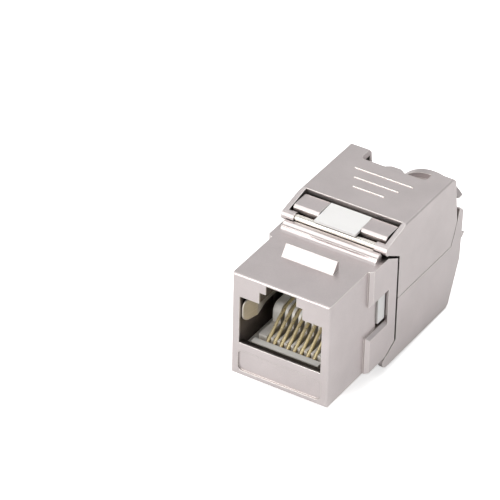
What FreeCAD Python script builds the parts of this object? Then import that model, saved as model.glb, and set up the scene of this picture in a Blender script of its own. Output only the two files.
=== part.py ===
"""Shielded toolless keystone jack: a die-cast front housing, two die-cast wings that hinge
open to take the cable, a white keystone latch and the contact insert inside.

Frame: origin at the centre of the port opening in the front face, +X to the right seen from
the plug, +Y along the jack towards the cable, +Z up towards the fixed catch. Millimetres.
"""
import FreeCAD, Part
import math
import os
import Sketcher

# ---------------------------------------------------------------- driving dimensions
SIZES = {
    # die-cast front housing
    "face_width": 14.6,
    "face_top": 7.1,
    "face_bottom": 8.85,
    "plate_rise": 0.7,
    "plate_root": 0.6,
    "plate_bevel": 0.45,
    "housing_end": 16.12,
    "front_wall": 0.9,
    "edge_round": 0.3,
    "port_width": 12.4,
    "port_height": 7.3,
    "step_width": 6.5,
    "step_rise": 1.72,
    "key_width": 4.6,
    "key_rise": 1.36,
    "key_depth": 8.5,
    "sleeve_floor": 7.4,
    "sleeve_setback": 4.12,
    "rear_pocket_half": 6.4,
    "rear_pocket_top": 5.1,
    "rear_pocket_low": 6.7,
    "panel_half": 6.3,
    "panel_low": 8.05,
    "panel_high": 4.85,
    "panel_depth": 0.25,
    "panel_round": 0.7,
    "catch_half": 3.9,
    "catch_start": 6.35,
    "catch_end": 7.8,
    "catch_rise": 1.5,
    "shoulder_start": 9.6,
    "shoulder_low": 1.5,
    "block_start": 9.1,
    "block_high": 3.2,
    "strip_length": 2.02,
    "corner_run": 2.52,
    "corner_drop": 1.4,
    "heel_run": 2.37,
    "heel_rise": 1.3,
    "ridge_half": 7.25,
    "ridge_rise": 1.0,
    "ridge_thick": 0.95,
    "ridge_step": 0.3,
    "ridge_gap": 0.07,
    "scoop_half": 6.3,
    "scoop_y": 10.4,
    "scoop_radius": 2.8,
    "scoop_depth": 0.6,
    # pads, saddles and lugs cast on the housing
    "pad_inner": 3.18,
    "pad_outer": 7.05,
    "pad_setback": 1.7,
    "pad_length": 3.1,
    "pad_high": 9.5,
    "pad_thick": 1.0,
    "pad_nose": 0.35,
    "neck_setback": 0.25,
    "neck_thick": 0.7,
    "saddle_half": 0.8,
    "saddle_offset": 4.4,
    "lug_inner": 5.45,
    "lug_outer": 7.1,
    "lug_reach": 2.2,
    "lug_low": 10.6,
    "lug_nose": 0.5,
    "lug_root": 0.3,
    "lug_gap": 0.25,
    "stop_half": 2.2,
    "stop_reach": 0.45,
    "stop_low": 10.1,
    # hinges
    "pin_radius": 0.5,
    "pin_gap": 0.04,
    "pin_cover": 0.45,
    "upper_axis_z": 8.3,
    "upper_knuckle": 0.72,
    "upper_knuckle_inner": 6.1,
    "lower_setback": 1.92,
    "lower_axis_z": 9.75,
    "lower_knuckle": 0.88,
    "knuckle_gap": 0.12,
    # wings
    "wing_gap": 0.5,
    "slant_gap": 0.36,
    "wing_wall": 1.1,
    "wing_skin": 1.0,
    "window_half": 7.3,
    "seam_z": 0.85,
    "seam_gap": 0.1,
    "seam_end": 30.9,
    "upper_top": 10.0,
    "upper_window": 1.48,
    "brow_rim": 0.1,
    "rear_reach": 1.25,
    "rear_lean": 0.25,
    "rear_slant": 0.6,
    "wall_setback": 0.1,
    "rear_wall_thick": 1.2,
    "rear_wall_top": 7.6,
    "notch_setback": 2.5,
    "notch_half": 5.0,
    "nib_half": 1.4,
    "nib_reach": 0.95,
    "nib_drop": 0.3,
    "lower_bottom": 10.7,
    "lower_window": 1.18,
    "lower_tab_half": 1.4,
    "lower_tab_reach": 0.55,
    "sill_setback": 2.4,
    "sill_back": 0.8,
    "sill_rise": 1.9,
    "tongue_half": 3.1,
    "tongue_reach": 2.4,
    "tongue_bead": 0.75,
    "rim_foot": 0.55,
    "rim_rise": 0.4,
    "rim_lean": 0.4,
    "rim_mid_z": 4.3,
    "ear_top": 4.15,
    "ear_wide": 1.05,
    "ear_round": 0.8,
    "ear_gap": 0.2,
    "pocket_reach": 1.4,
    "pocket_step": 5.6,
    "line_long": 4.45,
    "line_mid": 3.4,
    "line_short": 2.4,
    "line_setback": 4.9,
    "line_pitch": 2.0,
    "line_width": 0.24,
    "line_depth": 0.12,
    # cable collar
    "collar_z": 2.6,
    "bore_radius": 4.2,
    "tube_radius": 5.05,
    "flange_radius": 5.9,
    "flange_thick": 1.1,
    "flare_radius": 6.7,
    "flare_setback": 1.3,
    "flare_run": 3.3,
    "collar_length": 9.15,
    "collar_step": 1.2,
    "upper_cut": 3.7,
    "lower_cut": 1.2,
    # latch
    "latch_half": 5.2,
    "latch_slot": 2.45,
    "latch_slot_end": 10.3,
    "latch_thick": 0.85,
    "latch_root": 1.5,
    "latch_root_back": 1.2,
    "latch_root_z": 9.55,
    "latch_bend": 1.4,
    "latch_bend_z": 10.45,
    "latch_tip_y": 6.5,
    "latch_tip_z": 10.75,
    "latch_lip": 1.1,
    "latch_lip_rise": 1.25,
    "latch_soft": 0.45,
    # contact tray and contacts
    "fit_gap": 0.1,
    "tray_front": 1.2,
    "tray_top": 3.73,
    "tray_half": 5.07,
    "comb_start": 2.2,
    "comb_trough": 1.0,
    "comb_depth": 0.9,
    "comb_slot": 0.62,
    "comb_rise_y": 6.6,
    "comb_round": 1.2,
    "comb_mid": 1.0,
    "comb_wall": 1.4,
    "comb_top": 1.3,
    "pitch": 1.016,
    "wire_radius": 0.22,
    "wire_low": 5.4,
    "wire_nose": 2.5,
    "wire_bend": 0.5,
    "wire_knee_y": 5.9,
    "wire_knee_z": 1.85,
    "wire_tip_y": 9.6,
    "wire_tip_z": 0.9,
    # circuit board, insert carrier, blades and wire cap
    "board_gap": 0.15,
    "board_thick": 1.0,
    "board_half": 6.25,
    "board_low": 6.55,
    "board_high": 4.95,
    "nub_face": 7.55,
    "nub_low": 2.6,
    "plate_half": 3.12,
    "plate_setback": 0.4,
    "plate_top": 9.5,
    "plate_dip": 0.25,
    "block_setback": 1.5,
    "block_length": 6.0,
    "block_half": 6.3,
    "block_top": 7.2,
    "block_bottom": 7.9,
    "block_web": 2.2,
    "block_channel": 2.6,
    "idc_pitch": 3.0,
    "idc_row": 3.95,
    "idc_thick": 0.4,
    "idc_tail": 0.3,
    "idc_half": 0.8,
    "idc_reach": 2.4,
    "idc_slot": 0.4,
    "idc_slot_depth": 2.4,
    "cap_gap": 0.2,
    "cap_clear": 1.1,
    "cap_half": 6.4,
    "cap_floor": 2.6,
    "cap_throat": 4.6,
    "cap_slot_depth": 1.5,
    "wire_slot": 1.5,
    # shield springs
    "spring_thick": 0.2,
    "spring_low": 0.75,
    "spring_high": 2.6,
    "spring_start": 0.5,
    "spring_end": 9.0,
    "spring_bow": 0.65,
    "spring_round": 1.2,
}

doc = FreeCAD.newDocument("keystone_jack")
sheet = doc.addObject("Spreadsheet::Sheet", "Sizes")


class Size:
    """A length with its value and the expression over the sheet that gives it."""

    def __init__(self, value, text):
        self.value = value
        self.text = text

    @staticmethod
    def of(other):
        return other if isinstance(other, Size) else Size(float(other), repr(float(other)))

    def __add__(self, other):
        other = Size.of(other)
        return Size(self.value + other.value, f"({self.text} + {other.text})")

    def __sub__(self, other):
        other = Size.of(other)
        return Size(self.value - other.value, f"({self.text} - {other.text})")

    def __mul__(self, other):
        other = Size.of(other)
        return Size(self.value * other.value, f"({self.text} * {other.text})")

    def __truediv__(self, other):
        other = Size.of(other)
        return Size(self.value / other.value, f"({self.text} / {other.text})")

    def __neg__(self):
        return Size(-self.value, f"(0 - {self.text})")

    __radd__ = __add__
    __rmul__ = __mul__

    def __rsub__(self, other):
        return Size.of(other) - self


def root(size):
    return Size(math.sqrt(size.value), f"sqrt({size.text})")


class Sheet:
    """The driving dimensions, read by name: d.face_width and so on."""


d = Sheet()
for row, (alias, number) in enumerate(SIZES.items(), start=1):
    sheet.set(f"A{row}", alias)
    sheet.set(f"B{row}", str(number))
    sheet.setAlias(f"B{row}", alias)
    setattr(d, alias, Size(number, f"Sizes.{alias}"))
doc.recompute()
ZERO = Size(0.0, "0")


# ---------------------------------------------------------------- sketch and feature helpers
def bind(obj, prop, size):
    """Give a property its value and tie it to the sheet."""
    size = Size.of(size)
    obj.setExpression(prop, size.text)


def new_body(name):
    body = doc.addObject("PartDesign::Body", name)
    body.Label = name
    return body


def new_sketch(body, plane, offset):
    """A sketch on one of the body's own origin planes, moved along the plane's normal."""
    sketch = body.newObject("Sketcher::SketchObject", f"{body.Name}_sketch")
    support = [item for item in body.Origin.OriginFeatures if item.Role == plane][0]
    sketch.AttachmentSupport = (support, [""])
    sketch.MapMode = "FlatFace"
    bind(sketch, "AttachmentOffset.Base.z", offset)
    return sketch


def fix_point(sketch, geometry, point, x_size, y_size):
    """Hold a sketch point at its two sizes; None leaves that direction free."""
    for kind, size in (("DistanceX", x_size), ("DistanceY", y_size)):
        if size is None:
            continue
        index = sketch.addConstraint(
            Sketcher.Constraint(kind, -1, 1, geometry, point, Size.of(size).value))
        sketch.setExpression(f"Constraints[{index}]", Size.of(size).text)


def vector(x_size, y_size):
    return FreeCAD.Vector(Size.of(x_size).value, Size.of(y_size).value, 0)


class Arc:
    """An arc edge of an outline, from the point before it to the point after it."""

    def __init__(self, x_centre, y_centre, radius, turns_left=True):
        self.x_centre = x_centre
        self.y_centre = y_centre
        self.radius = radius
        self.turns_left = turns_left


def draw_outline(sketch, outline, closed=True):
    """Draw points joined by lines or arcs. An arc's start gives its radius, so its end is
    held in one direction only."""
    points = [item for item in outline if not isinstance(item, Arc)]
    arcs = {}
    seen = 0
    for item in outline:
        if isinstance(item, Arc):
            arcs[seen - 1] = item
        else:
            seen += 1
    count = len(points)
    edges = count if closed else count - 1
    for index in range(edges):
        first = vector(*points[index])
        last = vector(*points[(index + 1) % count])
        if index in arcs:
            arc = arcs[index]
            centre = vector(arc.x_centre, arc.y_centre)
            start, stop = (first, last) if arc.turns_left else (last, first)
            angles = [math.atan2(end.y - centre.y, end.x - centre.x) for end in (start, stop)]
            circle = Part.Circle(centre, FreeCAD.Vector(0, 0, 1), Size.of(arc.radius).value)
            sketch.addGeometry(Part.ArcOfCircle(circle, *angles), False)
        else:
            sketch.addGeometry(Part.LineSegment(first, last), False)

    def ends(index):
        if index in arcs and not arcs[index].turns_left:
            return 2, 1
        return 1, 2

    for index in range(edges if closed else edges - 1):
        following = (index + 1) % count
        sketch.addConstraint(Sketcher.Constraint(
            "Coincident", index, ends(index)[1], following, ends(following)[0]))
    for index, (x_size, y_size) in enumerate(points):
        arc = arcs.get((index - 1) % count)
        if arc is not None:
            reach = vector(x_size, y_size) - vector(arc.x_centre, arc.y_centre)
            if abs(reach.x) > abs(reach.y):
                x_size = None
            else:
                y_size = None
        if index < edges:
            fix_point(sketch, index, ends(index)[0], x_size, y_size)
        else:
            fix_point(sketch, index - 1, ends(index - 1)[1], x_size, y_size)
    for index, arc in arcs.items():
        fix_point(sketch, index, 3, arc.x_centre, arc.y_centre)


def draw_circle(sketch, x_centre, y_centre, radius):
    radius = Size.of(radius)
    circle = Part.Circle(vector(x_centre, y_centre), FreeCAD.Vector(0, 0, 1), radius.value)
    index = sketch.addGeometry(circle, False)
    fix_point(sketch, index, 3, x_centre, y_centre)
    held = sketch.addConstraint(Sketcher.Constraint("Radius", index, radius.value))
    sketch.setExpression(f"Constraints[{held}]", radius.text)


def rectangle(x_low, x_high, y_low, y_high):
    return [(x_low, y_low), (x_high, y_low), (x_high, y_high), (x_low, y_high)]


def extrude(kind, body, plane, low, high, draw):
    """Pad or pocket a sketch from low to high along the axis that the plane is normal to."""
    along_y = plane == "XZ_Plane"
    sketch = new_sketch(body, plane, -Size.of(high) if along_y else low)
    draw(sketch)
    feature = body.newObject(f"PartDesign::{kind}", f"{body.Name}_{kind.lower()}")
    feature.Profile = sketch
    feature.Reversed = kind == "Pocket"
    before = body.Shape.Volume if body.Shape and not body.Shape.isNull() else 0.0
    bind(feature, "Length", Size.of(high) - Size.of(low))
    body.Tip = feature
    doc.recompute()
    change = feature.Shape.Volume - before
    wrong = change <= 0 if kind == "Pad" else change >= 0
    if wrong:
        raise RuntimeError(f"{feature.Name} changes the volume by {change:.4f}")
    return feature


def add(body, plane, low, high, outline):
    return extrude("Pad", body, plane, low, high, lambda sketch: draw_outline(sketch, outline))


def cut(body, plane, low, high, outline):
    return extrude("Pocket", body, plane, low, high, lambda sketch: draw_outline(sketch, outline))


def add_disc(body, plane, low, high, x_centre, y_centre, radius):
    return extrude("Pad", body, plane, low, high,
                   lambda sketch: draw_circle(sketch, x_centre, y_centre, radius))


def cut_disc(body, plane, low, high, x_centre, y_centre, radius):
    return extrude("Pocket", body, plane, low, high,
                   lambda sketch: draw_circle(sketch, x_centre, y_centre, radius))


def soften(body, radius, wanted, kind="Fillet"):
    """Round (or chamfer) the edges of the body that the test picks."""
    base = body.Tip
    names = [f"Edge{index + 1}" for index, edge in enumerate(base.Shape.Edges) if wanted(edge)]
    if not names:
        raise RuntimeError(f"no edge to round on {body.Name}")
    feature = body.newObject(f"PartDesign::{kind}", f"{body.Name}_{kind.lower()}")
    feature.Base = (base, names)
    bind(feature, "Radius" if kind == "Fillet" else "Size", radius)
    body.Tip = feature
    doc.recompute()
    if "Invalid" in feature.State or feature.Shape.isNull():
        raise RuntimeError(f"{feature.Name} failed")
    return feature


def line_at(edge, direction, **where):
    """True for a straight edge along a direction whose middle has the given coordinates."""
    if not isinstance(edge.Curve, Part.Line):
        return False
    run = edge.Vertexes[-1].Point - edge.Vertexes[0].Point
    run.normalize()
    if abs(abs(run.dot(direction)) - 1.0) > 1e-6:
        return False
    middle = edge.CenterOfMass
    return all(abs(getattr(middle, axis) - Size.of(size).value) < 1e-3
               for axis, size in where.items())


X_AXIS = FreeCAD.Vector(1, 0, 0)
Y_AXIS = FreeCAD.Vector(0, 1, 0)
Z_AXIS = FreeCAD.Vector(0, 0, 1)
SIDES = (-1, 1)


def span(side, inner, outer):
    """A stretch of X on one side of the middle, in rising order."""
    inner = Size.of(inner)
    outer = Size.of(outer)
    return (inner, outer) if side > 0 else (-outer, -inner)


half_face = d.face_width / 2
half_port = d.port_width / 2
half_opening = d.port_height / 2
body_half = half_face + d.plate_rise

# places along the jack, each measured from the one that carries it
sleeve_end = d.housing_end - d.sleeve_setback
strip_start = d.housing_end - d.strip_length
corner_y = d.housing_end - d.corner_run
corner_slope = d.corner_drop / d.corner_run
heel_y = d.housing_end - d.heel_run
heel_slope = d.heel_rise / d.heel_run
upper_axis_y = corner_y
lower_axis_y = d.housing_end - d.lower_setback
wing_start = d.housing_end + d.wing_gap
upper_window_back = wing_start + d.upper_window
lower_window_back = wing_start + d.lower_window
rear_wall = d.seam_end - d.wall_setback
collar_end = rear_wall + d.collar_length
flare_start = rear_wall + d.flare_setback
flare_end = flare_start + d.flare_run
board_start = sleeve_end + d.board_gap
board_end = board_start + d.board_thick
block_start_y = d.housing_end + d.block_setback
block_end = block_start_y + d.block_length
cap_start = block_end + d.cap_gap
cap_end = rear_wall - d.cap_clear
idc_end = cap_start + d.idc_reach


# ---------------------------------------------------------------- front housing
def port_outline():
    """The port opening with its stepped key at the top."""
    first_step = half_opening + d.step_rise
    second_step = first_step + d.key_rise
    return [
        (-half_port, -half_opening), (half_port, -half_opening), (half_port, half_opening),
        (d.step_width / 2, half_opening), (d.step_width / 2, first_step),
        (d.key_width / 2, first_step), (d.key_width / 2, second_step),
        (-d.key_width / 2, second_step), (-d.key_width / 2, first_step),
        (-d.step_width / 2, first_step), (-d.step_width / 2, half_opening),
        (-half_port, half_opening),
    ]


def housing_side():
    """Side view of the housing block with its two cut rear corners."""
    end = d.housing_end
    return [(ZERO, -d.face_bottom), (heel_y, -d.face_bottom),
            (end, -d.face_bottom + d.heel_rise), (end, d.face_top - d.corner_drop),
            (corner_y, d.face_top), (ZERO, d.face_top)]


def rounded_rectangle(half_wide, low, high, radius):
    """Closed outline of a rectangle about the middle plane with four rounded corners."""
    inner = half_wide - radius
    return [
        (-inner, low), (inner, low), Arc(inner, low + radius, radius),
        (half_wide, low + radius), (half_wide, high - radius), Arc(inner, high - radius, radius),
        (inner, high), (-inner, high), Arc(-inner, high - radius, radius),
        (-half_wide, high - radius), (-half_wide, low + radius), Arc(-inner, low + radius, radius),
    ]


def make_front_housing():
    body = new_body("front_housing")
    end = d.housing_end
    add(body, "YZ_Plane", -half_face, half_face, housing_side())
    soften(body, d.edge_round, lambda edge: abs(edge.CenterOfMass.y) < 1e-6)
    for side in SIDES:
        low, high = span(side, half_face - d.plate_root, body_half)
        add(body, "YZ_Plane", low, high, [
            (d.block_start, -d.face_bottom), (heel_y, -d.face_bottom),
            (end, -d.face_bottom + d.heel_rise), (end, d.face_top - d.corner_drop),
            (corner_y, d.face_top), (d.shoulder_start, d.face_top),
            (d.shoulder_start, d.shoulder_low), (strip_start, d.shoulder_low),
            (strip_start, -d.block_high), (d.block_start, -d.block_high)])

    def plate_edge(edge):
        middle = edge.CenterOfMass
        if abs(abs(middle.x) - body_half.value) > 1e-3 or not isinstance(edge.Curve, Part.Line):
            return False
        return (abs(middle.y - d.block_start.value) < 1e-3
                or abs(middle.y - d.shoulder_start.value) < 1e-3
                or abs(middle.z - d.shoulder_low.value) < 1e-3
                or abs(middle.z + d.block_high.value) < 1e-3)

    soften(body, d.plate_bevel, plate_edge, "Chamfer")
    add_ridge_and_catch(body)
    add_pads(body)
    add_underside(body)
    cut_inside(body)
    return body


def add_ridge_and_catch(body):
    """Stepped ridge in front of the upper hinge and the fixed wedge catch."""
    top = d.face_top
    crest = top + d.ridge_rise
    foot = d.ridge_rise * 2 / 3
    back = upper_axis_y - d.pin_radius - d.ridge_gap
    front = back - d.ridge_thick
    foot_y = front - d.ridge_step - foot
    add(body, "YZ_Plane", -d.ridge_half, d.ridge_half, [
        (foot_y, top - d.ridge_rise), (back, top - d.ridge_rise), (back, crest),
        (front + d.ridge_step, crest), (front, top + foot), (front - d.ridge_step, top + foot),
        Arc(foot_y, top + foot, foot, False), (foot_y, top)])
    add(body, "YZ_Plane", -d.catch_half, d.catch_half, [
        (d.catch_start, top - d.edge_round), (d.catch_end, top - d.edge_round),
        (d.catch_end, top + d.catch_rise), (d.catch_end - d.edge_round, top + d.catch_rise),
        (d.catch_start, top)])


def add_pads(body):
    """Two pads that overhang the upper hinge, and the saddles that the hinge pin lies in."""
    root_z = d.face_top - d.corner_drop
    front = d.housing_end - d.pad_setback
    back = front + d.pad_length
    neck = front + d.neck_setback
    under = d.pad_high - d.pad_thick
    saddle_front = upper_axis_y - d.pin_radius / 2
    for side in SIDES:
        low, high = span(side, d.pad_inner, d.pad_outer)
        add(body, "YZ_Plane", low, high, [
            (neck, root_z), (neck + d.neck_thick, root_z), (neck + d.neck_thick, under),
            (back, under), (back, d.pad_high), (front + d.pad_nose, d.pad_high),
            (front, d.pad_high - d.pad_nose), (front, under), (neck, under)])
        low, high = span(side, d.saddle_offset - d.saddle_half, d.saddle_offset + d.saddle_half)
        add(body, "YZ_Plane", low, high, [
            (saddle_front, root_z), (neck + d.neck_setback, root_z),
            (neck + d.neck_setback, d.upper_axis_z), (saddle_front, d.upper_axis_z)])
    cut_disc(body, "YZ_Plane", -d.upper_knuckle_inner, d.upper_knuckle_inner,
             upper_axis_y, d.upper_axis_z, d.pin_radius + d.pin_gap)
    for side in SIDES:
        low, high = span(side, d.upper_knuckle_inner - d.pin_gap, half_face)
        cut_disc(body, "YZ_Plane", low, high,
                 upper_axis_y, d.upper_axis_z, d.upper_knuckle + d.knuckle_gap)


def add_underside(body):
    """Finger scoops, the two lugs that carry the lower hinge pins and the stop between them."""
    end = d.housing_end
    floor = -d.face_bottom
    axis_z = -d.lower_axis_z
    lug_front = lower_axis_y - d.lug_reach
    lug_back = lower_window_back - d.lug_gap
    for side in SIDES:
        low, high = span(side, d.latch_slot, d.scoop_half)
        cut_disc(body, "YZ_Plane", low, high, d.scoop_y,
                 floor - d.scoop_radius + d.scoop_depth, d.scoop_radius)
    for side in SIDES:
        low, high = span(side, d.lug_inner, d.lug_outer)
        add(body, "YZ_Plane", low, high, [
            (lug_front, floor + d.lug_root), (lug_front, floor),
            (lower_axis_y - d.knuckle_gap, -d.lug_low), (lug_back - d.lug_nose, -d.lug_low),
            (lug_back, -d.lug_low + d.lug_nose), (lug_back, floor - d.lug_root),
            (end, floor), (end, floor + d.heel_rise), (heel_y, floor + d.lug_root)])
        low, high = span(side, d.lug_inner - d.pin_gap, d.lug_outer)
        cut_disc(body, "YZ_Plane", low, high, lower_axis_y, axis_z, d.pin_radius + d.pin_gap)
    stop_front = heel_y - d.stop_reach
    add(body, "YZ_Plane", -d.stop_half, d.stop_half, [
        (stop_front, floor + d.lug_root), (stop_front, -d.stop_low), (end, -d.stop_low),
        (end, floor + d.heel_rise), (heel_y, floor + d.lug_root)])


def cut_inside(body):
    """Port, tray pocket, rear pocket, side windows and the bare label panel."""
    cut(body, "XZ_Plane", ZERO, d.key_depth, port_outline())
    cut(body, "XZ_Plane", ZERO, sleeve_end,
        rectangle(-half_port, half_port, -half_opening, half_opening))
    cut(body, "XZ_Plane", d.front_wall, sleeve_end,
        rectangle(-half_port, half_port, -d.sleeve_floor, -half_opening + d.lug_root))
    cut(body, "XZ_Plane", sleeve_end, d.housing_end + 1,
        rectangle(-d.rear_pocket_half, d.rear_pocket_half, -d.rear_pocket_low, d.rear_pocket_top))
    for side in SIDES:
        low, high = span(side, d.rear_pocket_half - d.lug_root, body_half)
        cut(body, "YZ_Plane", low, high,
            rectangle(sleeve_end, strip_start, -d.block_high, d.shoulder_low))
    cut(body, "XZ_Plane", ZERO, d.panel_depth,
        rounded_rectangle(d.panel_half, -d.panel_low, -d.panel_high, d.panel_round))


# ---------------------------------------------------------------- cable wings
def collar_half(body, direction):
    """Flared half tube with its rear flange, turned about the cable axis."""
    sketch = new_sketch(body, "YZ_Plane", ZERO)
    bind(sketch, "AttachmentOffset.Base.y", -d.collar_z)
    inner = d.bore_radius * direction
    tube = d.tube_radius * direction
    flange = d.flange_radius * direction
    flare = d.flare_radius * direction
    end = collar_end if direction > 0 else collar_end - d.collar_step
    draw_outline(sketch, [
        (rear_wall, inner), (end, inner), (end, flange), (end - d.flange_thick, flange),
        (end - d.flange_thick, tube), (flare_end, tube), (flare_start, flare),
        (rear_wall, flare)])
    feature = body.newObject("PartDesign::Revolution", f"{body.Name}_collar")
    feature.Profile = sketch
    feature.ReferenceAxis = (sketch, ["H_Axis"])
    feature.Midplane = True
    bind(feature, "Angle", Size.of(180))
    body.Tip = feature
    doc.recompute()


def lines_on_face(body, low, high):
    """Three shorter and shorter raised lines across a wing's outer face."""
    for step, half in enumerate((d.line_long, d.line_mid, d.line_short)):
        middle = rear_wall - d.line_setback - d.line_pitch * step
        add(body, "XY_Plane", low, high,
            rectangle(-half, half, middle - d.line_width / 2, middle + d.line_width / 2))


def ear_radius():
    """Radius about the upper hinge of the arc that parts the two wings at the rear."""
    across = d.seam_end - upper_axis_y
    down = d.upper_axis_z + d.seam_z + d.seam_gap
    return root(across * across + down * down)


def arc_y(radius, z_place):
    """Y at which an arc about the upper hinge reaches a height."""
    down = d.upper_axis_z - z_place
    return upper_axis_y + root(radius * radius - down * down)


def make_wing_upper():
    body = new_body("wing_upper")
    seam = -d.seam_z
    top = d.upper_top
    radius = ear_radius() - d.ear_gap
    rear = d.seam_end + d.rear_reach
    rear_top = d.seam_end - d.rear_lean
    across = rear - upper_axis_y
    rear_z = d.upper_axis_z - root(radius * radius - across * across)
    front_z = d.face_top - (wing_start - corner_y) * corner_slope + d.slant_gap
    add(body, "YZ_Plane", -body_half, body_half, [
        (wing_start, seam), (arc_y(radius, seam), seam),
        Arc(upper_axis_y, d.upper_axis_z, radius), (rear, rear_z),
        (rear_top + d.rear_slant, top - d.rear_slant), (rear_top, top),
        (upper_window_back + d.brow_rim, top), (upper_axis_y, d.upper_axis_z + d.upper_knuckle),
        (upper_axis_y, d.upper_axis_z - d.upper_knuckle), (wing_start, front_z)])
    soften(body, d.edge_round, lambda edge: (
        abs(abs(edge.CenterOfMass.x) - body_half.value) < 1e-3
        and edge.CenterOfMass.z > top.value - 0.01
        and isinstance(edge.Curve, Part.Line)))
    inside = body_half - d.wing_wall
    cut(body, "YZ_Plane", -inside, inside,
        rectangle(wing_start - 1, rear_wall, seam - 1, top - d.wing_skin))
    half = d.window_half
    cut(body, "XY_Plane", seam - 1, top + 1,
        rectangle(-half, half, upper_axis_y - 2, upper_window_back))
    add_notch(body)
    for side in SIDES:
        low, high = span(side, d.upper_knuckle_inner, body_half)
        add_disc(body, "YZ_Plane", low, high, upper_axis_y, d.upper_axis_z, d.upper_knuckle)
    collar_half(body, 1)
    cut(body, "XZ_Plane", rear_wall - 1, collar_end + 1,
        rectangle(-inside, inside, -d.collar_z - 1, seam))
    cut(body, "XZ_Plane", rear_wall + d.rear_wall_thick, collar_end + 1,
        rectangle(-inside, inside, seam - 1, -d.collar_z + d.upper_cut))
    cut_disc(body, "XZ_Plane", rear_wall - 1, collar_end + 1, ZERO, -d.collar_z, d.bore_radius)
    cut_disc(body, "YZ_Plane", -body_half, body_half - d.pin_cover,
             upper_axis_y, d.upper_axis_z, d.pin_radius)
    lines_on_face(body, top - d.line_depth, top + d.line_depth)
    return body


def add_notch(body):
    """Rounded notch in the rear edge of the upper wing, with a small nib in its middle."""
    half = d.notch_half
    corner = d.panel_round
    notch_y = rear_wall - d.notch_setback
    behind = d.seam_end + d.rear_reach + 1
    cut(body, "XY_Plane", d.rear_wall_top, d.upper_top + 1, [
        (-half, behind), (-half, notch_y + corner),
        Arc(-half + corner, notch_y + corner, corner),
        (-half + corner, notch_y), (half - corner, notch_y),
        Arc(half - corner, notch_y + corner, corner),
        (half, notch_y + corner), (half, behind)])
    nib = d.nib_half
    reach = d.nib_reach
    add(body, "XY_Plane", d.upper_top - d.wing_skin, d.upper_top - d.nib_drop, [
        (-nib, notch_y - reach), (nib, notch_y - reach), (nib, notch_y + reach / 2),
        (nib / 2, notch_y + reach), (-nib / 2, notch_y + reach), (-nib, notch_y + reach / 2)])


def make_wing_lower():
    body = new_body("wing_lower")
    seam = -d.seam_z - d.seam_gap
    bottom = -d.lower_bottom
    axis_z = -d.lower_axis_z
    arc = ear_radius()
    ear_front = arc_y(arc, d.ear_top)
    ear_y = ear_front + d.ear_wide
    under_heel = -d.face_bottom - d.slant_gap
    add(body, "YZ_Plane", -body_half, body_half, [
        (wing_start, under_heel + (wing_start - heel_y) * heel_slope),
        (lower_axis_y, under_heel + (lower_axis_y - heel_y) * heel_slope),
        (lower_axis_y, axis_z - d.lower_knuckle), (lower_axis_y + d.lower_knuckle, bottom),
        (d.seam_end - d.rim_foot, bottom), (d.seam_end, bottom + d.rim_rise),
        (ear_y - d.rim_lean, -d.rim_mid_z), (ear_y, d.ear_top - d.ear_round),
        (ear_y - d.ear_round, d.ear_top), (ear_front, d.ear_top),
        Arc(upper_axis_y, d.upper_axis_z, arc, False), (arc_y(arc, seam), seam),
        (wing_start, seam)])
    inside = body_half - d.wing_wall
    floor = bottom + d.wing_skin
    sill_y = rear_wall - d.sill_setback
    pocket_back = rear_wall + d.pocket_reach
    cut(body, "YZ_Plane", -inside, inside, [
        (wing_start - 1, floor), (sill_y - d.sill_back, floor), (rear_wall, floor + d.sill_rise),
        (rear_wall, d.ear_top + 1), (wing_start - 1, d.ear_top + 1)])
    # rear face: stepped pockets either side of the tongue
    for side in SIDES:
        low, high = span(side, d.tongue_half, inside)
        cut(body, "YZ_Plane", low, high, [
            (sill_y, bottom - 1), (ear_y + 1, bottom - 1), (ear_y + 1, ZERO),
            (pocket_back, ZERO), (pocket_back, -d.pocket_step),
            (rear_wall + d.rear_wall_thick, -d.pocket_step),
            (rear_wall + d.rear_wall_thick, floor + d.sill_rise - d.wing_skin),
            (sill_y, floor - d.wing_skin / 2)])
    add_tongue(body, sill_y)
    front = lower_window_back
    half = d.window_half
    tab = d.lower_tab_half
    cut(body, "XY_Plane", bottom - 1, seam + 1, [
        (-half, lower_axis_y - 2), (half, lower_axis_y - 2), (half, front), (tab, front),
        (tab, front - d.lower_tab_reach), (-tab, front - d.lower_tab_reach), (-tab, front),
        (-half, front)])
    for side in SIDES:
        low, high = span(side, half, body_half)
        add_disc(body, "YZ_Plane", low, high, lower_axis_y, axis_z, d.lower_knuckle)
    collar_half(body, -1)
    cut(body, "XZ_Plane", rear_wall - 1, collar_end + 1,
        rectangle(-inside, inside, -d.collar_z, d.ear_top + 1))
    cut(body, "XZ_Plane", rear_wall + d.rear_wall_thick, collar_end + 1,
        rectangle(-inside, inside, -d.collar_z - d.lower_cut, -d.collar_z + 1))
    cut_disc(body, "XZ_Plane", rear_wall - d.rear_wall_thick, collar_end + 1,
             ZERO, -d.collar_z, d.bore_radius)
    for side in SIDES:
        low, high = span(side, half - d.pin_gap, body_half - d.pin_cover)
        cut_disc(body, "YZ_Plane", low, high, lower_axis_y, axis_z, d.pin_radius)
    lines_on_face(body, bottom - d.line_depth, bottom + d.line_depth)
    return body


def add_tongue(body, sill_y):
    """Middle tongue of the lower wing's rear face, with a round bead along its end."""
    bottom = -d.lower_bottom
    bead = d.tongue_bead
    bead_y = rear_wall + d.tongue_reach - bead
    tube_low = -d.collar_z - d.tube_radius
    add(body, "YZ_Plane", -d.tongue_half, d.tongue_half, [
        (sill_y - d.sill_back, bottom), (bead_y, bottom), (bead_y + bead / 2, bottom + bead * 2),
        (flare_end, tube_low + d.edge_round), (rear_wall, tube_low + d.edge_round),
        (rear_wall, bottom + d.sill_rise)])
    add_disc(body, "YZ_Plane", -d.tongue_half, d.tongue_half, bead_y, bottom + bead, bead)


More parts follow.
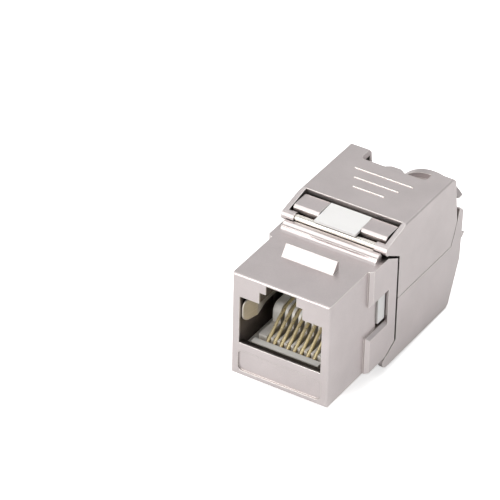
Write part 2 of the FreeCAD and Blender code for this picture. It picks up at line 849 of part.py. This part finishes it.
def make_pin(name, low, high, y_centre, z_centre):
    body = new_body(name)
    add_disc(body, "YZ_Plane", low, high, y_centre, z_centre, d.pin_radius)
    return body


# ---------------------------------------------------------------- latch and insert
def make_latch():
    body = new_body("keystone_latch")
    thick = d.latch_thick
    tip = d.latch_tip_y
    tip_z = -d.latch_tip_z
    lip_z = tip_z - d.latch_lip_rise
    bend_y = lower_window_back - d.latch_bend
    root_back = lower_window_back + d.latch_root_back
    root_front = root_back - d.latch_root
    root_top = -d.block_bottom - d.fit_gap
    add(body, "YZ_Plane", -d.latch_half, d.latch_half, [
        (tip, lip_z), (tip + d.latch_lip, lip_z),
        (tip + d.latch_lip + d.latch_lip_rise / 2, tip_z), (bend_y, -d.latch_bend_z),
        (root_front, -d.latch_root_z), (root_back, -d.latch_root_z), (root_back, root_top),
        (root_front, root_top), (root_front, -d.latch_root_z + thick),
        (bend_y, -d.latch_bend_z + thick), (tip + d.latch_lip, tip_z + thick),
        (tip, tip_z + thick / 2)])
    slot = d.latch_slot
    cut(body, "XY_Plane", lip_z, root_top, [
        (-slot, root_front), (-slot, d.latch_slot_end + slot),
        Arc(ZERO, d.latch_slot_end + slot, slot),
        (slot, d.latch_slot_end + slot), (slot, root_front)])
    soften(body, d.latch_soft, lambda edge: line_at(edge, X_AXIS, z=lip_z))
    return body


def contact_x(index):
    return d.pitch * (index - 3.5)


def make_tray():
    body = new_body("contact_tray")
    top = -d.tray_top
    base = top - d.comb_depth
    low = -d.sleeve_floor + d.fit_gap
    inner = half_port - d.fit_gap
    back = sleeve_end - d.fit_gap
    comb_y = d.comb_rise_y
    curve = d.comb_round
    tooth_y = d.comb_start + d.comb_trough
    wall_y = sleeve_end - d.comb_wall
    add(body, "YZ_Plane", -inner, inner, rectangle(d.tray_front, back, low, base))
    add(body, "YZ_Plane", -d.tray_half, d.tray_half, [
        (d.tray_front, low), (back, low), (back, d.comb_top), (wall_y, d.comb_top),
        (wall_y, -d.comb_mid), (comb_y + curve, -d.comb_mid),
        Arc(comb_y + curve, -d.comb_mid - curve, curve), (comb_y, -d.comb_mid - curve),
        (comb_y, top), (tooth_y, top), (tooth_y, base), (d.comb_start, base),
        (d.comb_start, top), (d.tray_front, top)])

    def slots(sketch):
        half = d.comb_slot / 2
        for index in range(8):
            middle = contact_x(index)
            draw_outline_at(sketch, rectangle(
                middle - half, middle + half, -d.wire_low - d.comb_slot, d.comb_top + 1))

    extrude("Pocket", body, "XZ_Plane", d.comb_start, back + 1, slots)
    return body


def draw_outline_at(sketch, outline):
    """Add one more closed outline of straight lines to a sketch that already has some."""
    first = sketch.GeometryCount
    count = len(outline)
    for index in range(count):
        sketch.addGeometry(Part.LineSegment(
            vector(*outline[index]), vector(*outline[(index + 1) % count])), False)
    for index in range(count):
        sketch.addConstraint(Sketcher.Constraint(
            "Coincident", first + index, 2, first + (index + 1) % count, 1))
    for index, (x_size, y_size) in enumerate(outline):
        fix_point(sketch, first + index, 1, x_size, y_size)


def make_contact(index):
    """Round contact wire bent up out of the tray and back into the comb."""
    body = new_body(f"contact_{index + 1}")
    middle = contact_x(index)
    low = -d.wire_low
    bend = d.wire_bend
    start = board_end - d.board_thick / 3
    path = new_sketch(body, "YZ_Plane", middle)
    draw_outline(path, [
        (start, low), (d.wire_nose + bend, low), (d.wire_nose, low + bend),
        (d.wire_nose + bend, low + bend * 2.4), (d.wire_knee_y - bend, -d.wire_knee_z - bend),
        (d.wire_knee_y + bend, -d.wire_knee_z + bend / 4), (d.wire_tip_y, -d.wire_tip_z),
    ], closed=False)
    profile = new_sketch(body, "XZ_Plane", -start)
    draw_circle(profile, middle, low, d.wire_radius)
    pipe = body.newObject("PartDesign::AdditivePipe", f"{body.Name}_wire")
    pipe.Profile = profile
    pipe.Spine = path
    pipe.Transition = "Right corner"
    body.Tip = pipe
    doc.recompute()
    return body


def blade_places():
    """X and Z of the eight blades: two rows of four."""
    places = []
    for row_side in SIDES:
        for column in range(4):
            places.append((d.idc_pitch * (column - 1.5), d.idc_row * row_side - d.seam_z / 2))
    return places


def make_board():
    body = new_body("circuit_board")
    add(body, "XZ_Plane", board_start, board_end,
        rectangle(-d.board_half, d.board_half, -d.board_low, d.board_high))

    def holes(sketch):
        for index in range(8):
            draw_circle(sketch, contact_x(index), -d.wire_low, d.wire_radius + d.pin_gap)

    extrude("Pocket", body, "XZ_Plane", board_start - 1, board_end + 1, holes)
    return body


def blade_holes(half_wide):
    """A drawing of the eight slots that the blades pass through."""
    half_high = d.idc_thick / 2 + d.fit_gap / 2

    def draw(sketch):
        for x_place, z_place in blade_places():
            draw_outline_at(sketch, rectangle(
                x_place - half_wide, x_place + half_wide,
                z_place - half_high, z_place + half_high))
    return draw


def make_carrier():
    body = new_body("insert_carrier")
    back = block_start_y - d.fit_gap / 2
    half = d.rear_pocket_half - d.fit_gap
    pocket_top = d.rear_pocket_top - d.fit_gap
    add(body, "XZ_Plane", board_end, back,
        rectangle(-half, half, -d.rear_pocket_low + d.fit_gap, pocket_top))
    top = d.plate_top
    front = upper_axis_y - d.plate_setback
    stem = d.housing_end + d.fit_gap * 2
    over_pin = d.upper_axis_z + d.pin_radius + d.fit_gap
    add(body, "YZ_Plane", -d.plate_half, d.plate_half, [
        (stem, pocket_top - d.fit_gap), (back, pocket_top - d.fit_gap), (back, top),
        (front, top - d.plate_dip), (front, over_pin), (stem, over_pin)])
    nub_back = strip_start - d.fit_gap * 2
    board_side = d.board_half + d.fit_gap
    for side in SIDES:
        nub = [(board_side, board_start), (d.nub_face, board_start), (d.nub_face, nub_back),
               (half - d.lug_root, nub_back), (half - d.lug_root, board_end),
               (board_side, board_end)]
        add(body, "XY_Plane", -d.nub_low, d.shoulder_low - d.fit_gap,
            [(x_size * side, y_size) for x_size, y_size in nub])
    extrude("Pocket", body, "XZ_Plane", board_end - 1, back + 1,
            blade_holes(d.idc_tail + d.fit_gap / 2))
    return body


def make_idc_block():
    body = new_body("idc_block")
    channel = d.block_channel
    middle = -d.seam_z / 2
    add(body, "XZ_Plane", block_start_y, block_end,
        rectangle(-d.block_half, d.block_half, -d.block_bottom, d.block_top))
    cut(body, "XZ_Plane", block_start_y + d.block_web, block_end,
        rectangle(-d.block_half - 1, d.block_half + 1, middle - channel, middle + channel))
    extrude("Pocket", body, "XZ_Plane", block_start_y - 1, block_end + 1,
            blade_holes(d.idc_half + d.fit_gap / 2))
    return body


def make_blade(index):
    """Forked blade: a tail through the carrier and a slotted head that takes one wire."""
    body = new_body(f"idc_blade_{index + 1}")
    x_place, z_place = blade_places()[index]
    half = d.idc_half
    slot = d.idc_slot / 2
    neck = block_start_y
    right = [(d.idc_tail, board_end), (d.idc_tail, neck), (half, neck), (half, idc_end - half / 2),
             (half / 2, idc_end), (slot, idc_end - half / 3), (slot, idc_end - d.idc_slot_depth)]
    left = [(-x_size, y_size) for x_size, y_size in reversed(right)]
    add(body, "XY_Plane", z_place - d.idc_thick / 2, z_place + d.idc_thick / 2,
        [(x_place + x_size, y_size) for x_size, y_size in right + left])
    return body


def make_wire_cap():
    body = new_body("wire_cap")
    low = -d.block_bottom
    high = d.block_top
    half = d.wire_slot / 2
    add(body, "XZ_Plane", cap_start, cap_end, rectangle(-d.cap_half, d.cap_half, low, high))
    cut_disc(body, "XZ_Plane", cap_start + d.cap_floor, cap_end + 1,
             ZERO, -d.collar_z, d.cap_throat)
    extrude("Pocket", body, "XZ_Plane", cap_start - 1, idc_end + d.fit_gap * 2,
            blade_holes(d.idc_half + d.fit_gap))
    for x_place, z_place in blade_places()[::4] + blade_places()[3::4]:
        below = z_place.value < 0
        wire_low = low - 1 if below else z_place - half
        wire_high = z_place + half if below else high + 1
        cut(body, "XZ_Plane", cap_start, cap_start + d.cap_slot_depth,
            rectangle(x_place - half, x_place + half, wire_low, wire_high))
    return body


def make_spring(name, side):
    """Grounding spring along a side of the port, bowed inwards, with a rounded front end."""
    body = new_body(name)
    wall = half_port - d.fit_gap / 2
    bow = wall - d.spring_bow
    thick = d.spring_thick
    middle = (d.spring_start + d.spring_end) / 3
    rest = (d.spring_start + d.spring_end) * 2 / 3
    outer = [(wall, d.spring_start), (bow, middle), (wall, rest), (wall, d.spring_end)]
    inner = [(x_size - thick, y_size) for x_size, y_size in reversed(outer)]
    add(body, "XY_Plane", -d.spring_low, d.spring_high,
        [(x_size * side, y_size) for x_size, y_size in outer + inner])
    front = d.spring_start
    curve = d.spring_round
    low, high = span(side, wall - 1, wall + 1)
    for edge, way in ((d.spring_high, 1), (-d.spring_low, -1)):
        cut(body, "YZ_Plane", low, high, [
            (front, edge - curve * way), Arc(front + curve, edge - curve * way, curve, way < 0),
            (front + curve, edge), (front + curve, edge + way), (front - 1, edge + way),
            (front - 1, edge - curve * way)])
    return body


# ---------------------------------------------------------------- build and save
bodies = [make_front_housing(), make_wing_upper(), make_wing_lower()]
bodies.append(make_pin("hinge_pin_upper", -body_half + d.pin_gap, body_half - d.pin_cover,
                       upper_axis_y, d.upper_axis_z))
for side_name, side in (("left", -1), ("right", 1)):
    low, high = span(side, d.lug_inner, body_half - d.pin_cover)
    bodies.append(make_pin(f"hinge_pin_lower_{side_name}", low, high,
                           lower_axis_y, -d.lower_axis_z))
bodies += [make_latch(), make_tray(), make_board(), make_carrier(), make_idc_block()]
bodies += [make_wire_cap(), make_spring("shield_spring_left", -1),
           make_spring("shield_spring_right", 1)]
bodies += [make_contact(index) for index in range(8)]
bodies += [make_blade(index) for index in range(8)]

doc.recompute()
for item in doc.Objects:
    if "Invalid" in item.State or "Error" in item.State:
        raise RuntimeError(f"{item.Name}: {item.State}")
os.makedirs("parts", exist_ok=True)
for body in bodies:
    shape = body.Shape
    if shape.isNull() or not shape.isValid() or len(shape.Solids) != 1:
        raise RuntimeError(f"{body.Label}: {len(shape.Solids)} solids, valid {shape.isValid()}")
    shape.exportStep(f"parts/{body.Label}.step")
    box = shape.BoundBox
    print(f"{body.Label:24s} {shape.Volume:9.2f} mm3  "
          f"x {box.XMin:.2f} {box.XMax:.2f}  y {box.YMin:.2f} {box.YMax:.2f}  "
          f"z {box.ZMin:.2f} {box.ZMax:.2f}")
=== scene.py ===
"""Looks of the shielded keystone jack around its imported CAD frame."""

import bpy
from mathutils import Matrix, Vector


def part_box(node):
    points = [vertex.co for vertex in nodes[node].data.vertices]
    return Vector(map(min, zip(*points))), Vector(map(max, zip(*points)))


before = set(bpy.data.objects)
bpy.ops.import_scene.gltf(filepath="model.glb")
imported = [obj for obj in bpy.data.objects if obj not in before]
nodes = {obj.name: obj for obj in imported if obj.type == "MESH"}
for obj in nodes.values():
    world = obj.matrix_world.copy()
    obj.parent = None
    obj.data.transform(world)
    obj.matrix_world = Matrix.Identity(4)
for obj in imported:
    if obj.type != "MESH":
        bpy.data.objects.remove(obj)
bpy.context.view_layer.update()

# ---------------------------------------------------------------- places and levels, in metres
CAMERA_PLACE = (0.19318, -0.32619, 0.27577)
CAMERA_RIGHT = (0.84821, 0.52935, 0.01800)
CAMERA_DOWN = (0.31406, -0.47529, -0.82187)
CAMERA_LENS_MM = 261.9
CAMERA_SENSOR_MM = 36.0
CAMERA_NEAR = 0.01
CAMERA_FAR = 10.0

LIP_INSET = 0.0008          # from the latch's front to its lowest line
WING_REST_Y = 0.0307        # where the floor's slope is taken from the lower wing's rear
WING_REST_RISE = 0.00012    # above the lower wing's lowest point
FLOOR_GAP = 0.00015
FLOOR_REACH = 1.2
FLOOR_TONE = 0.9
FLOOR_GLOW_SEEN = 0.62      # by the camera, so that the floor comes out white
FLOOR_GLOW_MIRRORED = 0.02  # in the metal

WORLD_LIGHT = 0.64
WORLD_SEEN = 0.36           # on top of WORLD_LIGHT, for the camera alone

BODY_MIDDLE = (0, 0.015, 0)
PORT_FACE = (0, 0.0, 0)

MIX_FACTOR = 0              # sockets of Blender's Mix node for colours
MIX_FIRST = 6
MIX_SECOND = 7
MIX_RESULT = 2

BLACK = (0.0, 0.0, 0.0)
WHITE = (1.0, 1.0, 1.0)
EDGE_GAIN = 6.0             # makes a small turn of the normal count as an edge


def level(value):
    return (value,) * 3


def scaled(colour, share):
    return tuple(share * part for part in colour)


def link(obj):
    bpy.context.scene.collection.objects.link(obj)
    return obj


# ---------------------------------------------------------------- node trees
class Tree:
    """A small helper to write a node tree."""

    def __init__(self, tree):
        self.tree = tree
        self.tree.nodes.clear()

    def add(self, kind, **settings):
        node = self.tree.nodes.new(kind)
        for key, value in settings.items():
            setattr(node, key, value)
        return node

    def join(self, source, output, target, entry):
        self.tree.links.new(source.outputs[output], target.inputs[entry])

    def feed(self, value, socket):
        """Join a (node, output) pair to the socket, or set it to a number or a colour."""
        if isinstance(value, tuple) and isinstance(value[0], bpy.types.Node):
            self.tree.links.new(value[0].outputs[value[1]], socket)
        elif isinstance(value, tuple):
            socket.default_value = (*value, 1.0)
        else:
            socket.default_value = value

    def math(self, operation, *values, clamp=False):
        node = self.add("ShaderNodeMath", operation=operation, use_clamp=clamp)
        for entry, value in enumerate(values):
            self.feed(value, node.inputs[entry])
        return node


class Surface(Tree):
    """The node tree of one material of the part."""

    def __init__(self, name):
        self.material = bpy.data.materials.new(name)
        self.material.use_nodes = True
        super().__init__(self.material.node_tree)
        out = self.add("ShaderNodeOutputMaterial")
        self.shader = self.add("ShaderNodeBsdfPrincipled")
        self.join(self.shader, "BSDF", out, "Surface")
        self.place = self.add("ShaderNodeTexCoord")

    def noise(self, scale, detail, rough, stretch=None):
        texture = self.add("ShaderNodeTexNoise")
        texture.inputs["Scale"].default_value = scale
        texture.inputs["Detail"].default_value = detail
        texture.inputs["Roughness"].default_value = rough
        if stretch is None:
            self.join(self.place, "Object", texture, "Vector")
        else:
            mapping = self.add("ShaderNodeMapping")
            mapping.inputs["Scale"].default_value = stretch
            self.join(self.place, "Object", mapping, "Vector")
            self.join(mapping, "Vector", texture, "Vector")
        return texture

    def fade(self, source, output, low, high, first, second):
        """The first colour up to low, the second from high on, and a blend between."""
        ramp = self.add("ShaderNodeValToRGB")
        for element, position, colour in zip(ramp.color_ramp.elements, (low, high), (first, second)):
            element.position = position
            element.color = (*colour, 1.0)
        self.join(source, output, ramp, "Fac")
        return ramp

    def mix(self, factor, first, second, kind="MIX"):
        node = self.add("ShaderNodeMix", data_type="RGBA", blend_type=kind)
        self.feed(factor, node.inputs[MIX_FACTOR])
        self.feed(first, node.inputs[MIX_FIRST])
        self.feed(second, node.inputs[MIX_SECOND])
        return node

    def bump(self, source, output, distance, strength, under=None):
        """Raise the surface by a texture, over the normal of the node named as under."""
        bump = self.add("ShaderNodeBump")
        bump.inputs["Distance"].default_value = distance
        bump.inputs["Strength"].default_value = strength
        self.join(source, output, bump, "Height")
        if under is not None:
            self.join(under, "Normal", bump, "Normal")
        self.join(bump, "Normal", self.shader, "Normal")

    def rounded(self, radius, samples):
        """The normal of the shape with its edges rounded."""
        bevel = self.add("ShaderNodeBevel", samples=samples)
        bevel.inputs["Radius"].default_value = radius
        return bevel

    def edges(self, bevel):
        """1 along the edges that the rounding turns and 0 on the faces."""
        shape = self.add("ShaderNodeNewGeometry")
        dot = self.add("ShaderNodeVectorMath", operation="DOT_PRODUCT")
        self.join(bevel, "Normal", dot, 0)
        self.join(shape, "Normal", dot, 1)
        off = self.math("SUBTRACT", 1.0, (dot, "Value"))
        return self.math("MULTIPLY", (off, 0), EDGE_GAIN, clamp=True)

    def inside_box(self, low, high, share):
        """share inside a box of the part's own frame and 0 outside it."""
        split = self.add("ShaderNodeSeparateXYZ")
        self.join(self.place, "Object", split, "Vector")
        factor = None
        for axis, (start, end) in enumerate(zip(low, high)):
            above = self.math("GREATER_THAN", (split, axis), start)
            below = self.math("LESS_THAN", (split, axis), end)
            both = self.math("MULTIPLY", (above, 0), (below, 0))
            factor = both if factor is None else self.math("MULTIPLY", (factor, 0), (both, 0))
        return self.math("MULTIPLY", (factor, 0), share)

    def hollow(self, reach, low, high):
        """A mask for painted shade: white in the open and black deep in gaps and corners."""
        open_air = self.add("ShaderNodeAmbientOcclusion", samples=8)
        open_air.inputs["Distance"].default_value = reach
        return self.fade(open_air, "AO", low, high, BLACK, WHITE)

    def colour(self, node):
        self.join(node, MIX_RESULT, self.shader, "Base Color")

    def roughness(self, source, low, high, smooth, coarse):
        """Roughness that follows a noise, from smooth to coarse."""
        ramp = self.fade(source, "Fac", low, high, level(smooth), level(coarse))
        self.join(ramp, "Color", self.shader, "Roughness")


# ---------------------------------------------------------------- camera, floor, light
def make_camera():
    data = bpy.data.cameras.new("camera")
    data.sensor_width = CAMERA_SENSOR_MM
    data.lens = CAMERA_LENS_MM
    data.clip_start = CAMERA_NEAR
    data.clip_end = CAMERA_FAR
    camera = link(bpy.data.objects.new("camera", data))
    right = Vector(CAMERA_RIGHT).normalized()
    down = Vector(CAMERA_DOWN).normalized()
    view = right.cross(down).normalized()
    down = view.cross(right).normalized()
    turn = Matrix((right, -down, -view)).transposed().to_4x4()
    camera.matrix_world = Matrix.Translation(CAMERA_PLACE) @ turn
    bpy.context.scene.camera = camera


def floor_material():
    """White that glows a little, by different amounts for the camera and for mirrored rays."""
    material = bpy.data.materials.new("floor_white")
    material.use_nodes = True
    tree = Tree(material.node_tree)
    out = tree.add("ShaderNodeOutputMaterial")
    diffuse = tree.add("ShaderNodeBsdfDiffuse")
    diffuse.inputs["Color"].default_value = (*level(FLOOR_TONE), 1)
    glow = tree.add("ShaderNodeEmission")
    path = tree.add("ShaderNodeLightPath")
    both = tree.add("ShaderNodeAddShader")
    seen = tree.math("MULTIPLY", (path, "Is Camera Ray"), FLOOR_GLOW_SEEN)
    power = tree.math("MULTIPLY_ADD", (path, "Is Glossy Ray"), FLOOR_GLOW_MIRRORED, (seen, 0))
    tree.join(power, 0, glow, "Strength")
    tree.join(diffuse, 0, both, 0)
    tree.join(glow, 0, both, 1)
    tree.join(both, 0, out, "Surface")
    return material


def make_floor():
    """Sloped floor just under the latch lip and the rear of the lower wing."""
    low_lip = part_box("keystone_latch")[0]
    low_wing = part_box("wing_lower")[0]
    front = (low_lip[1] + LIP_INSET, low_lip[2])
    rear = (WING_REST_Y, low_wing[2] + WING_REST_RISE)
    slope = (rear[1] - front[1]) / (rear[0] - front[0])
    mesh = bpy.data.meshes.new("floor")
    points = []
    for across, along in ((-1, -1), (1, -1), (1, 1), (-1, 1)):
        y = along * FLOOR_REACH
        points.append((across * FLOOR_REACH, y, front[1] - FLOOR_GAP + slope * (y - front[0])))
    mesh.from_pydata(points, [], [(0, 1, 2, 3)])
    floor = link(bpy.data.objects.new("floor", mesh))
    mesh.materials.append(floor_material())


def make_world():
    world = bpy.data.worlds.new("studio")
    bpy.context.scene.world = world
    world.use_nodes = True
    tree = Tree(world.node_tree)
    out = tree.add("ShaderNodeOutputWorld")
    back = tree.add("ShaderNodeBackground")
    path = tree.add("ShaderNodeLightPath")
    power = tree.math("MULTIPLY_ADD", (path, "Is Camera Ray"), WORLD_SEEN, WORLD_LIGHT)
    tree.join(power, 0, back, "Strength")
    tree.join(back, 0, out, "Surface")


def make_lamp(name, place, size, power, target=BODY_MIDDLE, colour=WHITE):
    data = bpy.data.lights.new(name, "AREA")
    data.shape = "RECTANGLE"
    data.size, data.size_y = size
    data.energy = power
    data.color = colour
    lamp = link(bpy.data.objects.new(name, data))
    lamp.location = place
    lamp.rotation_euler = (Vector(target) - Vector(place)).to_track_quat("-Z", "Y").to_euler()


# ---------------------------------------------------------------- kinds of surface
def nickel(name, base, shade_colour, rough, edge_light, inner=None):
    """Satin nickel plate on a die casting: blasted grain and cloudy tone, with a painted highlight along
    the edges, painted shade in gaps and corners, and, where inner is given, painted shade inside the port.
    """
    look = Surface(name)
    cloud = look.noise(scale=220.0, detail=4.0, rough=0.6)
    fine = look.noise(scale=15000.0, detail=3.0, rough=0.65)
    tone = look.fade(cloud, "Fac", low=0.3, high=0.7, first=scaled(base, 0.955), second=scaled(base, 1.04))
    speck = look.fade(fine, "Fac", low=0.32, high=0.68, first=level(0.90), second=level(1.08))
    colour = look.mix(1.0, (tone, "Color"), (speck, "Color"), "MULTIPLY")
    bevel = look.rounded(radius=0.00013, samples=6)
    # Painted highlight: along the edges, where the rounded normal turns, the colour is mixed toward the
    # light edge colour.
    painted_edge_highlight = look.fade(look.edges(bevel), 0, low=0.08, high=0.6, first=BLACK, second=level(0.9))
    lit = look.mix((painted_edge_highlight, "Color"), (colour, MIX_RESULT), edge_light)
    # Painted shade: gaps and corners are mixed toward the shade colour by ambient occlusion.
    shade = look.hollow(reach=0.0035, low=0.05, high=0.6)
    final = look.mix((shade, "Color"), shade_colour, (lit, MIX_RESULT))
    # Painted shade inside the port: within the given box the colour is mixed toward the shade colour.
    if inner is not None:
        final = look.mix((look.inside_box(*inner), 0), (final, MIX_RESULT), shade_colour)
    look.colour(final)
    look.shader.inputs["Metallic"].default_value = 0.92
    look.roughness(fine, low=0.3, high=0.7, smooth=rough - 0.05, coarse=rough + 0.06)
    look.bump(fine, "Fac", distance=0.000012, strength=0.6, under=bevel)
    return look.material


def plastic(name, base, shade_colour, rough, relief):
    """Moulded plastic with a faint orange peel and a slightly cloudy tone."""
    look = Surface(name)
    cloud = look.noise(scale=300.0, detail=3.0, rough=0.5)
    fine = look.noise(scale=9000.0, detail=2.0, rough=0.5)
    tone = look.fade(cloud, "Fac", low=0.3, high=0.7, first=scaled(base, 0.98), second=base)
    # Painted shade: gaps and corners are mixed toward the shade colour by ambient occlusion.
    shade = look.hollow(reach=0.002, low=0.1, high=0.8)
    look.colour(look.mix((shade, "Color"), shade_colour, (tone, "Color")))
    look.roughness(cloud, low=0.3, high=0.7, smooth=rough - 0.03, coarse=rough + 0.04)
    look.shader.inputs["Subsurface Weight"].default_value = 0.12
    look.shader.inputs["Subsurface Radius"].default_value = (0.0005, 0.0005, 0.00045)
    look.bump(fine, "Fac", distance=relief, strength=0.5)
    return look.material


def bright_metal(name, base, shade_colour, rough, scratch, stretch=(1.0, 0.06, 1.0), shine=1.0, deep=0.1):
    """Drawn or stamped metal with fine lines along it and rounded edges."""
    look = Surface(name)
    lines = look.noise(scale=scratch, detail=2.0, rough=0.6, stretch=stretch)
    tone = look.fade(lines, "Fac", low=0.3, high=0.7, first=scaled(base, 0.9), second=base)
    # Painted shade: gaps and corners are mixed toward the shade colour by ambient occlusion.
    shade = look.hollow(reach=0.0012, low=deep, high=0.7)
    look.colour(look.mix((shade, "Color"), shade_colour, (tone, "Color")))
    look.shader.inputs["Metallic"].default_value = shine
    look.roughness(lines, low=0.3, high=0.7, smooth=rough, coarse=rough + 0.08)
    look.bump(lines, "Fac", distance=0.000001, strength=0.3, under=look.rounded(radius=0.00015, samples=8))
    return look.material


# ---------------------------------------------------------------- the studio
bpy.context.scene.view_settings.view_transform = "Standard"
make_camera()
make_floor()
make_world()
make_lamp("key", place=(-0.32, -0.53, 0.40), size=(0.8, 0.62), power=2.6, colour=(1.0, 0.985, 0.965))
make_lamp("front", place=(-0.14, -0.6, 0.16), size=(0.3, 0.2), power=1.1, target=PORT_FACE,
          colour=(1.0, 0.98, 0.95))
make_lamp("fill", place=(0.5, -0.25, 0.2), size=(0.4, 0.4), power=0.2)
make_lamp("top", place=(0.05, 0.15, 0.6), size=(0.5, 0.5), power=1.5)
make_lamp("rear", place=(-0.2, 0.38, 0.42), size=(0.5, 0.5), power=0.14)

# ---------------------------------------------------------------- the part's materials
# Light cream of the painted highlight along the nickel's edges.
PAINTED_HIGHLIGHT_CREAM = (0.96, 0.93, 0.88)
# Box of the port's inside in the housing's frame, and how far its painted shade goes toward the shade
# colour.
PORT_LOW = (-0.0064, 0.0003, -0.0062)
PORT_HIGH = (0.0064, 0.0085, 0.0064)
PORT_SHADE = 0.8

housing_metal = nickel("nickel_casting", base=(0.63, 0.575, 0.572), shade_colour=(0.07, 0.048, 0.036),
                       rough=0.34, edge_light=PAINTED_HIGHLIGHT_CREAM, inner=(PORT_LOW, PORT_HIGH, PORT_SHADE))
wing_metal = nickel("nickel_wings", base=(0.63, 0.577, 0.572), shade_colour=(0.085, 0.058, 0.042),
                    rough=0.35, edge_light=PAINTED_HIGHLIGHT_CREAM)
pin_metal = bright_metal("hinge_steel", base=(0.90, 0.87, 0.81), shade_colour=(0.12, 0.08, 0.05),
                         rough=0.2, scratch=1200.0, stretch=(0.1, 1.0, 1.0))
white = plastic("white_nylon", base=(0.80, 0.795, 0.785), shade_colour=(0.36, 0.31, 0.28),
                rough=0.45, relief=0.00001)
grey = plastic("grey_comb", base=(0.90, 0.885, 0.85), shade_colour=(0.62, 0.58, 0.52),
               rough=0.42, relief=0.000008)
gold = bright_metal("contact_gold", base=(1.0, 0.86, 0.52), shade_colour=(1.0, 0.76, 0.36),
                    rough=0.26, scratch=2500.0, shine=0.6, deep=0.0)
sheet = bright_metal("spring_sheet", base=(0.80, 0.75, 0.68), shade_colour=(0.16, 0.12, 0.085),
                     rough=0.3, scratch=4000.0, shine=0.8)
blade = bright_metal("blade_bronze", base=(0.78, 0.72, 0.62), shade_colour=(0.10, 0.07, 0.04),
                     rough=0.28, scratch=9000.0)
board = plastic("board_green", base=(0.05, 0.22, 0.12), shade_colour=(0.01, 0.03, 0.02),
                rough=0.35, relief=0.000006)

GIVEN = {
    "front_housing": housing_metal, "wing_upper": wing_metal, "wing_lower": wing_metal,
    "hinge_pin_upper": pin_metal, "hinge_pin_lower_left": pin_metal, "hinge_pin_lower_right": pin_metal,
    "keystone_latch": white, "insert_carrier": white, "idc_block": white, "wire_cap": white,
    "contact_tray": grey, "circuit_board": board,
    "shield_spring_left": sheet, "shield_spring_right": sheet,
}
for number in range(1, 9):
    GIVEN[f"contact_{number}"] = gold
    GIVEN[f"idc_blade_{number}"] = blade
for name, material in GIVEN.items():
    obj = nodes[name]
    if not obj.material_slots:
        obj.data.materials.append(material)
    for slot in obj.material_slots:
        slot.material = material
